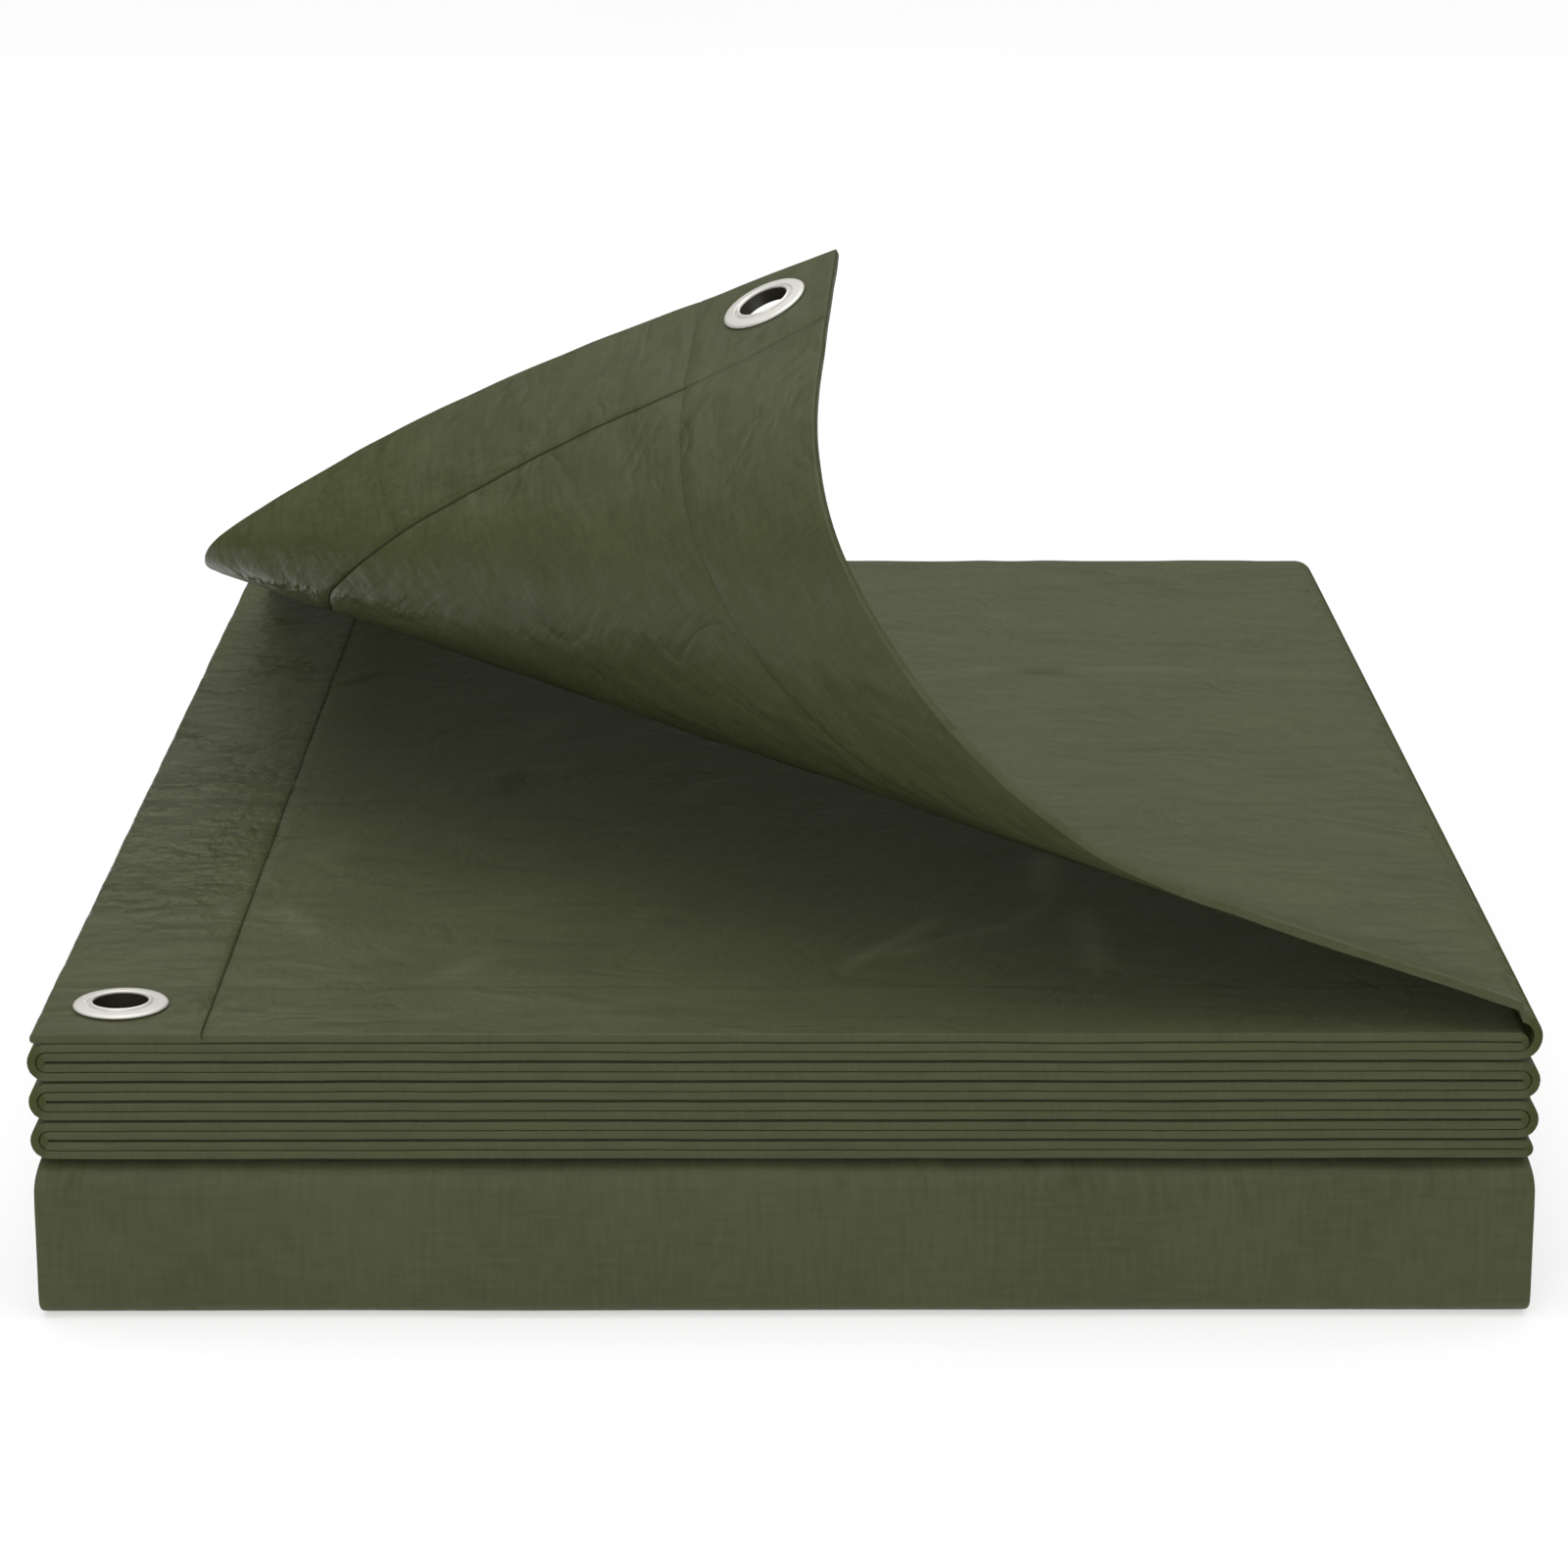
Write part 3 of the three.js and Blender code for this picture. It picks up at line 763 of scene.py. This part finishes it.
class Nodes:
    """Short forms for building a material's node tree."""

    def __init__(self, name):
        self.material = bpy.data.materials.new(name)
        self.material.use_nodes = True
        self.tree = self.material.node_tree
        self.shader = self.tree.nodes["Principled BSDF"]

    def add(self, kind, inputs=None, **settings):
        node = self.tree.nodes.new(kind)
        for key, value in settings.items():
            setattr(node, key, value)
        for key, value in (inputs or {}).items():
            self.set(node.inputs[key], value)
        return node

    def set(self, socket, value):
        if isinstance(value, bpy.types.NodeSocket):
            self.tree.links.new(value, socket)
        else:
            socket.default_value = value

    def math(self, operation, *values):
        node = self.add("ShaderNodeMath", operation=operation)
        for socket, value in zip(node.inputs, values):
            self.set(socket, value)
        return node.outputs[0]

    def noise(self, vector, scale, detail=2.0, roughness=0.5, distortion=0.0):
        inputs = {"Vector": vector, "Scale": scale, "Detail": detail}
        inputs.update({"Roughness": roughness, "Distortion": distortion})
        return self.add("ShaderNodeTexNoise", inputs).outputs[0]

    def stretched(self, vector, scale):
        return self.add("ShaderNodeMapping", {"Vector": vector, "Scale": scale}).outputs[0]

    def remap(self, value, low, high, to_low, to_high):
        inputs = {"Value": value, "From Min": low, "From Max": high}
        inputs.update({"To Min": to_low, "To Max": to_high})
        return self.add("ShaderNodeMapRange", inputs).outputs[0]

    def mix(self, share, first, second):
        node = self.add("ShaderNodeMix", data_type="RGBA")
        self.set(node.inputs[0], share)
        self.set(node.inputs[6], first)
        self.set(node.inputs[7], second)
        return node.outputs[2]

    def bump(self, height, strength, distance, normal=None):
        inputs = {"Strength": strength, "Distance": distance, "Height": height}
        if normal is not None:
            inputs["Normal"] = normal
        return self.add("ShaderNodeBump", inputs).outputs[0]

    def attribute(self, name):
        return self.add("ShaderNodeAttribute", attribute_name=name).outputs["Fac"]


OLIVE_DARK = (0.053, 0.0605, 0.0245, 1)
OLIVE_LIGHT = (0.073, 0.0815, 0.035, 1)
# The next colour paints crease ridges paler, as wear and as a highlight; the one after paints shade
# into crease troughs
OLIVE_WORN_AND_HIGHLIT = (0.115, 0.125, 0.065, 1)
PAINTED_CREASE_SHADE = (0.02, 0.023, 0.01, 1)
# Painted shade along the hem lines
PAINTED_HEM_SHADE = (0.012, 0.014, 0.006, 1)
METAL_DARK = (0.68, 0.655, 0.605, 1)
METAL_LIGHT = (0.75, 0.73, 0.69, 1)
METAL_SHADE = (0.035, 0.033, 0.022, 1)
FLOOR_DARK = (0.49, 0.49, 0.49, 1)
FLOOR_LIGHT = (0.51, 0.51, 0.51, 1)
TAPE = 1.4 * MM
# Streaks per metre along a tape
STREAKS = 90.0
# The film's unevenness: how high its broad waves, its fine folds and its crinkles are
BROAD_WAVES = 2.0 * MM
FINE_FOLDS = 3.2 * MM
CRINKLES = 1.5 * MM
TAPE_RELIEF = 0.06 * MM
STREAK_RELIEF = 0.1 * MM
# How rough flat film is, from its smoothest to its roughest, and how much less where it is loose
FILM_ROUGHNESS = (0.42, 0.58)
LOOSE_GLOSS = 0.22
FILM_SHINE = 0.2


def weave_height(n, uv):
    """Height of flat tapes, over one and under one."""
    split = n.add("ShaderNodeSeparateXYZ", {"Vector": uv})
    turns = math.pi / TAPE
    warp = n.math("SINE", n.math("MULTIPLY", split.outputs[0], turns))
    weft = n.math("SINE", n.math("MULTIPLY", split.outputs[1], turns))
    over = n.remap(n.math("MULTIPLY", warp, weft), -0.25, 0.25, 0.0, 1.0)
    tapes = n.add("ShaderNodeMix", data_type="FLOAT")
    n.set(tapes.inputs[0], over)
    n.set(tapes.inputs[2], n.math("ABSOLUTE", warp))
    n.set(tapes.inputs[3], n.math("ABSOLUTE", weft))
    return tapes.outputs[0]


def tarp_colour(n, streaks, broad, seam):
    """Olive, streaked along single tapes, with painted shade along the hem lines and in crease troughs,
    and paler crease ridges.
    """
    shade = n.math("ADD", n.math("MULTIPLY", streaks, 0.6), n.math("MULTIPLY", broad, 0.8))
    shade = n.remap(shade, 0.4, 1.6, -0.5, 1.5)
    colour = n.mix(shade, OLIVE_DARK, OLIVE_LIGHT)
    # Ridges of creases are paler, partly worn and partly a painted highlight, and their troughs get
    # painted shade
    fold = n.attribute("fold")
    colour = n.mix(n.math("MULTIPLY", fold, 0.7), colour, OLIVE_WORN_AND_HIGHLIT)
    colour = n.mix(n.math("MULTIPLY", fold, -1.0), colour, PAINTED_CREASE_SHADE)
    # Painted shade: the hem lines are coloured nearly black, as the groove beside each hem would shade
    # them
    return n.mix(n.math("MULTIPLY", seam, 0.75), colour, PAINTED_HEM_SHADE)


def tarp_normal(n, uv, loose, weave, streaks):
    """The film over the weave is crinkled, more in some places than in others."""
    patches = n.remap(n.noise(uv, 30.0, 1.0), 0.1, 0.9, 0.0, 1.2)
    broad_waves = n.noise(n.stretched(uv, (0.6, 1.0, 1.0)), 60.0, 2.0, 0.5, 0.6)
    # Fine folds are the lines where a wide noise passes its middle
    folds = n.noise(n.stretched(uv, (0.8, 1.0, 1.0)), 42.0, 2.0, 0.45, 1.2)
    folds = n.math("ABSOLUTE", n.math("SUBTRACT", folds, 0.5))
    crinkle = n.noise(n.stretched(uv, (1.0, 0.5, 1.0)), 260.0, 2.0, 0.5, 0.4)
    normal = n.bump(broad_waves, 0.9, BROAD_WAVES)
    normal = n.bump(folds, n.math("MULTIPLY", patches, 0.9), FINE_FOLDS, normal)
    normal = n.bump(crinkle, n.math("MULTIPLY", patches, loose), CRINKLES, normal)
    normal = n.bump(weave, 0.25, TAPE_RELIEF, normal)
    return n.bump(streaks, 0.5, STREAK_RELIEF, normal)


def tarp_material():
    n = Nodes("woven_poly")
    uv = n.add("ShaderNodeUVMap", uv_map="cloth").outputs[0]
    # Short streaks along single tapes, both ways
    lengthways = n.noise(n.stretched(uv, (1 / TAPE, STREAKS, 1.0)), 1.0, 1.0)
    crossways = n.noise(n.stretched(uv, (STREAKS, 1 / TAPE, 1.0)), 1.0, 1.0)
    streaks = n.math("ADD", lengthways, crossways)
    broad = n.noise(uv, 22.0, 3.0)
    seam, loose, dull = (n.attribute(name) for name in ("seam", "loose", "dull"))
    n.set(n.shader.inputs["Base Color"], tarp_colour(n, streaks, broad, seam))
    n.set(n.shader.inputs["Normal"], tarp_normal(n, uv, loose, weave_height(n, uv), streaks))
    matt = n.remap(broad, 0.1, 0.9, *FILM_ROUGHNESS)
    gloss = n.math("MULTIPLY", loose, LOOSE_GLOSS)
    n.set(n.shader.inputs["Roughness"], n.math("SUBTRACT", matt, gloss))
    shine = n.remap(n.math("MAXIMUM", seam, dull), 0.0, 1.0, FILM_SHINE, 0.0)
    n.set(n.shader.inputs["Specular IOR Level"], shine)
    return n.material


def metal_material():
    n = Nodes("satin_aluminium")
    place = n.add("ShaderNodeTexCoord").outputs["Object"]
    fine = n.noise(place, 900.0, 3.0)
    broad = n.noise(place, 120.0, 2.0)
    colour = n.mix(broad, METAL_DARK, METAL_LIGHT)
    # Painted shade: the inside of the neck, under the rolled lip, is coloured nearly black
    n.set(n.shader.inputs["Base Color"], n.mix(n.attribute("neck"), colour, METAL_SHADE))
    n.shader.inputs["Metallic"].default_value = 0.25
    n.set(n.shader.inputs["Roughness"], n.remap(fine, 0.3, 0.7, 0.28, 0.42))
    n.set(n.shader.inputs["Normal"], n.bump(fine, 0.12, 0.05 * MM))
    return n.material


def floor_material():
    n = Nodes("pale_floor")
    place = n.add("ShaderNodeTexCoord").outputs["Object"]
    tone = n.noise(place, 3.0, 2.0)
    n.set(n.shader.inputs["Base Color"], n.mix(tone, FLOOR_DARK, FLOOR_LIGHT))
    n.shader.inputs["Roughness"].default_value = 0.9
    n.shader.inputs["Specular IOR Level"].default_value = 0.1
    n.shader.inputs["Emission Color"].default_value = (1, 1, 1, 1)
    n.shader.inputs["Emission Strength"].default_value = FLOOR_GLOW
    return n.material


# Scene

CAMERA_PLACE = (-0.0037, -1.369, 0.44715)
# Degrees that the camera looks down, and that it is turned to its right
CAMERA_PITCH = 15.42
CAMERA_TURN = 0.18
LENS = 106.875
SENSOR = 36
FLOOR_REACH = 12.0
# The floor lies a little below the tarp, so that their faces never meet
FLOOR_GAP = 0.0003
CEILING_LIGHT = 2.05
# How quickly the white ceiling darkens towards the walls
CEILING_FALLOFF = 2.5
FLOOR_GLOW = 0.5
# Each lamp's name, place, size, power and whether it casts shadows. All are aimed at one point.
LAMPS = [
    ("front", (-0.5, -2.2, 1.0), 1.6, 14.5, True),
    ("top", (0.0, 0.4, 2.6), 2.0, 12.0, False),
    ("back", (0.0, 2.2, 0.9), 2.5, 0.8, True),
    ("veil", (0.0, 2.2, 0.9), 1.6, 0.75, False),
]
LAMP_AIM = (0, 0, 0.06)


def make_camera():
    camera = bpy.data.cameras.new("camera")
    camera.sensor_width = SENSOR
    camera.lens = LENS
    camera.clip_start = 0.05
    camera.clip_end = 50
    holder = bpy.data.objects.new("camera", camera)
    holder.location = CAMERA_PLACE
    holder.rotation_euler = (math.radians(90 - CAMERA_PITCH), 0, math.radians(-CAMERA_TURN))
    bpy.context.scene.collection.objects.link(holder)
    bpy.context.scene.camera = holder


def make_floor():
    mesh = bpy.data.meshes.new("floor")
    corners = [(-1, -1), (1, -1), (1, 1), (-1, 1)]
    mesh.from_pydata([(x * FLOOR_REACH, y * FLOOR_REACH, 0) for x, y in corners], [], [(0, 1, 2, 3)])
    floor = bpy.data.objects.new("floor", mesh)
    floor.location.z = -FLOOR_GAP
    bpy.context.scene.collection.objects.link(floor)
    mesh.materials.append(floor_material())


def make_world():
    """A white ceiling, dimmer towards the walls."""
    world = bpy.data.worlds.new("studio")
    bpy.context.scene.world = world
    world.use_nodes = True
    tree = world.node_tree
    background = tree.nodes["Background"]
    background.inputs["Color"].default_value = (1, 1, 1, 1)
    place = tree.nodes.new("ShaderNodeTexCoord")
    split = tree.nodes.new("ShaderNodeSeparateXYZ")
    tree.links.new(place.outputs["Generated"], split.inputs[0])
    level = split.outputs["Z"]
    steps = (("MAXIMUM", 0), ("POWER", CEILING_FALLOFF), ("MULTIPLY", CEILING_LIGHT))
    for operation, value in steps:
        step = tree.nodes.new("ShaderNodeMath")
        step.operation = operation
        step.inputs[1].default_value = value
        tree.links.new(level, step.inputs[0])
        level = step.outputs[0]
    tree.links.new(level, background.inputs["Strength"])


def make_lamps():
    for name, place, size, power, shadow in LAMPS:
        light = bpy.data.lights.new(name, "AREA")
        light.shape = "DISK"
        light.size = size
        light.energy = power
        light.use_shadow = shadow
        # With it on, the turned-back corner blocks what the glossy cloth below it reflects of the veil
        light.cycles.use_multiple_importance_sampling = name != "veil"
        holder = bpy.data.objects.new(name, light)
        holder.location = place
        aim = Vector(LAMP_AIM) - Vector(place)
        holder.rotation_euler = aim.to_track_quat("-Z", "Y").to_euler()
        bpy.context.scene.collection.objects.link(holder)


bpy.context.scene.view_settings.view_transform = "Standard"
make_camera()
make_floor()
make_world()
make_lamps()
tarp = tarp_material()
metal = metal_material()

upper, upper_flat = upper_sheet()
lower, lower_flat = lower_sheet()
rings = {
    "eyelet_ring_lower": turned("eyelet_ring_lower", eyelet_profile(), mouth_seat()),
    "eyelet_ring_upper": turned("eyelet_ring_upper", eyelet_profile(), flap_seat()),
    "washer_ring_lower": turned("washer_ring_lower", washer_profile(), mouth_seat()),
    "washer_ring_upper": turned("washer_ring_upper", washer_profile(), flap_seat()),
}
for piece in (upper, lower):
    piece.data.materials.append(tarp)
    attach(piece, "root")
for name, ring in rings.items():
    ring.data.materials.append(metal)
    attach(ring, "root")
    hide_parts(name.replace("_ring", ""))
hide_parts("cloth", "top_layer", "hem_strip_lower", "hem_strip_upper")
